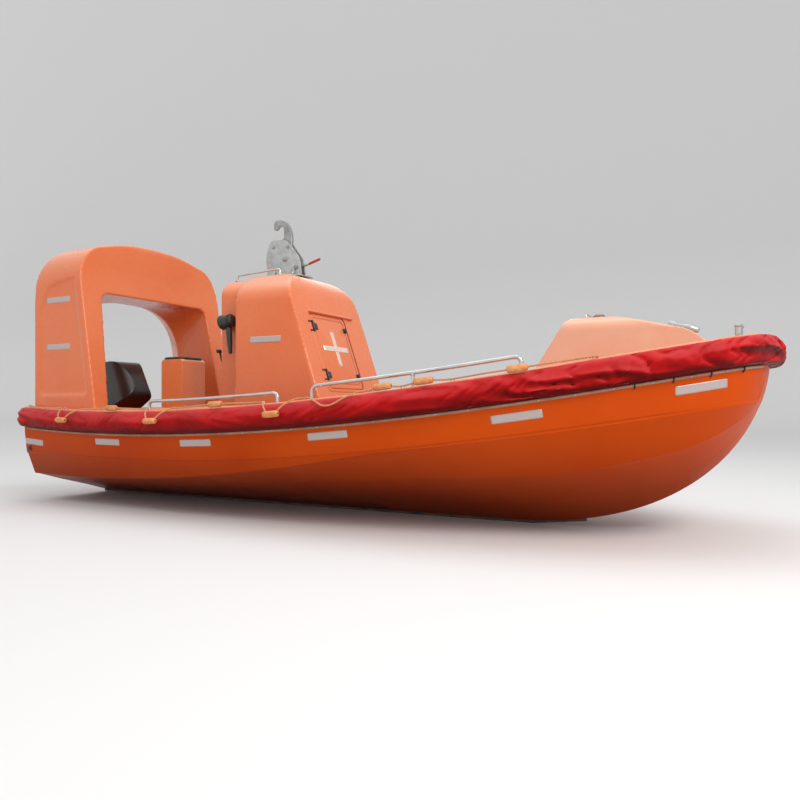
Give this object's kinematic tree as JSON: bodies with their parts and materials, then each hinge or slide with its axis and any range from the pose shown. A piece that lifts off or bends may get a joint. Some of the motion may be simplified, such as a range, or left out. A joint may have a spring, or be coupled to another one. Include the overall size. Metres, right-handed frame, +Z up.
{
  "type": "fast rescue boat",
  "caption": "Open orange rescue boat with a foam fender, a self-righting arch over the stern, a lifting hook on its housing and an outboard motor that tilts.",
  "frame": {"origin": "amidships on the centre line, at the height of the waterline", "axes": "+X towards the bow, +Y to port, +Z up"},
  "size_m": [6.9615, 2.399, 2.375],
  "materials": {
    "hull_orange": "glossy orange gelcoat, darker in the shade",
    "deck_orange": "sun-faded orange gelcoat, satin",
    "fender_red": "crimson coated cover cloth over foam, wrinkled",
    "batten": "beige weathered batten",
    "rope": "laid orange rope with foam floats",
    "stainless": "polished stainless tube",
    "galvanised": "galvanised plate, dull",
    "black_plastic": "black moulded plastic",
    "motor_grey": "dark grey sprayed casting"
  },
  "bodies": {
    "boat": {"batten_port": "batten", "batten_starboard": "batten", "bollard": "galvanised", "bow_lamp": "stainless", "crew_bench_port": "deck_orange", "crew_bench_starboard": "deck_orange", "deck": "deck_orange", "fender_aft_port": "fender_red", "fender_aft_starboard": "fender_red", "fender_bow": "fender_red", "fender_fore_port": "fender_red", "fender_fore_starboard": "fender_red", "foredeck_locker": "deck_orange", "grab_line_port": "rope", "grab_line_starboard": "rope", "handrail_aft_port": "stainless", "handrail_aft_starboard": "stainless", "handrail_fore_port": "stainless", "handrail_fore_starboard": "stainless", "helm_console": "deck_orange", "helm_seat": "deck_orange", "hook_foundation": "galvanised", "housing": "deck_orange", "hull": "hull_orange", "keel_band": "stainless", "painter_release": "galvanised", "roof_rail": "stainless", "searchlight": "black_plastic", "stern_arch": "deck_orange", "throttle_lever": "black_plastic", "transom_clamp": "motor_grey"},
    "hatch_door": {"hatch_door": "deck_orange"},
    "locker_door": {"locker_door": "deck_orange"},
    "steering_wheel": {"steering_wheel": "black_plastic"},
    "release_hook": {"release_hook": "galvanised"},
    "release_lever": {"release_lever": "galvanised"},
    "swivel": {"swivel_bracket": "motor_grey"},
    "motor": {"motor_leg": "motor_grey", "motor_cowl": "black_plastic"},
    "propeller": {"propeller": "stainless"}
  },
  "joints": [
    {"name": "hatch_hinge", "type": "hinge", "parent": "boat", "child": "hatch_door", "pos_m": [-0.1591, -0.296, 0.9376], "axis": [-0.3278, 0, 0.9447], "range_deg": [-110, 0]},
    {"name": "locker_hinge", "type": "hinge", "parent": "boat", "child": "locker_door", "pos_m": [1.6582, 0.226, 0.8774], "axis": [0.536, 0, 0.8442], "range_deg": [-100, 0]},
    {"name": "wheel_turn", "type": "hinge", "parent": "boat", "child": "steering_wheel", "pos_m": [-1.2203, 0, 0.89], "axis": [1, 0, 0], "range_deg": [-540, 540]},
    {"name": "hook_pivot", "type": "hinge", "parent": "boat", "child": "release_hook", "pos_m": [-0.7, 0, 1.73], "axis": [0, 1, 0], "range_deg": [-75, 0]},
    {"name": "lever_pivot", "type": "hinge", "parent": "boat", "child": "release_lever", "pos_m": [-0.585, 0, 1.655], "axis": [0, 1, 0], "range_deg": [-60, 0]},
    {"name": "motor_tilt", "type": "hinge", "parent": "boat", "child": "swivel", "pos_m": [-2.98, 0, 0.37], "axis": [0, 1, 0], "range_deg": [-64, 5]},
    {"name": "motor_steer", "type": "hinge", "parent": "swivel", "child": "motor", "pos_m": [-3.0107, 0, 0.4329], "axis": [0.8988, 0, 0.4384], "range_deg": [-30, 30]},
    {"name": "propeller_spin", "type": "hinge", "parent": "motor", "child": "propeller", "pos_m": [-3.8424, 0, 0.4501], "axis": [0.4384, 0, -0.8988], "continuous": true}
  ]
}
